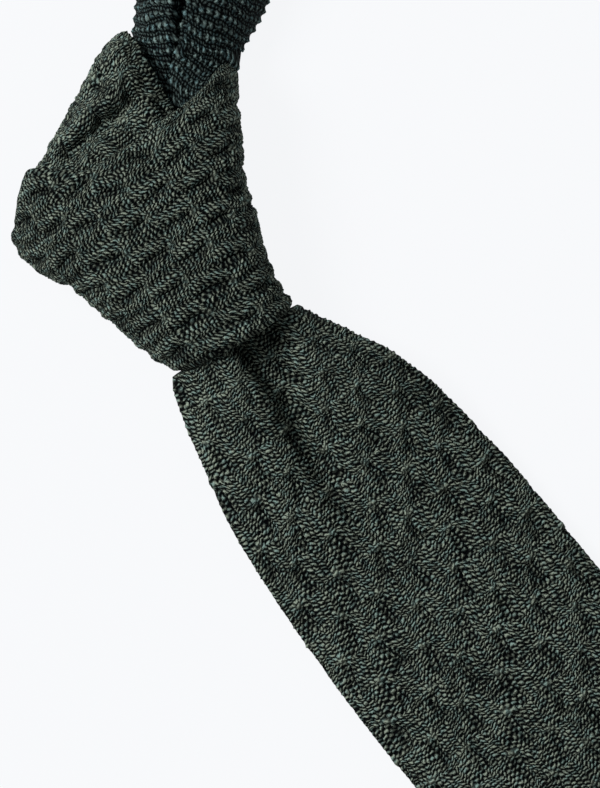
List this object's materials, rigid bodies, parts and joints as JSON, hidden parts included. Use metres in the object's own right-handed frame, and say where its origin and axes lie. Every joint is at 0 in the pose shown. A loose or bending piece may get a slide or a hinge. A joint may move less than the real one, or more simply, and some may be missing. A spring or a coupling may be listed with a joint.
{
  "type": "knit tie",
  "caption": "Knitted silk necktie with square ends, tied in a four-in-hand knot with a dimple and laid flat, its neck loop open above the knot.",
  "frame": {"origin": "on the surface that the tie lies on, at the middle of the knot's flat back", "axes": "+Y up the tie, from the blade towards the neck; +X to its right seen from the front; +Z out of its front face, up from the surface"},
  "size_m": [0.1965, 0.6303, 0.029],
  "materials": {
    "basket_knit": "matt knitted silk, dark green, raised relief of small cells",
    "plain_knit": "matt fine knitted silk, darker blue-green, rows of small bright stitches"
  },
  "bodies": {
    "root": {"knot_wrap": "basket_knit", "knot_core": "basket_knit", "front_blade": "basket_knit", "tail_blade": "basket_knit", "neck_band": "plain_knit"}
  },
  "joints": []
}
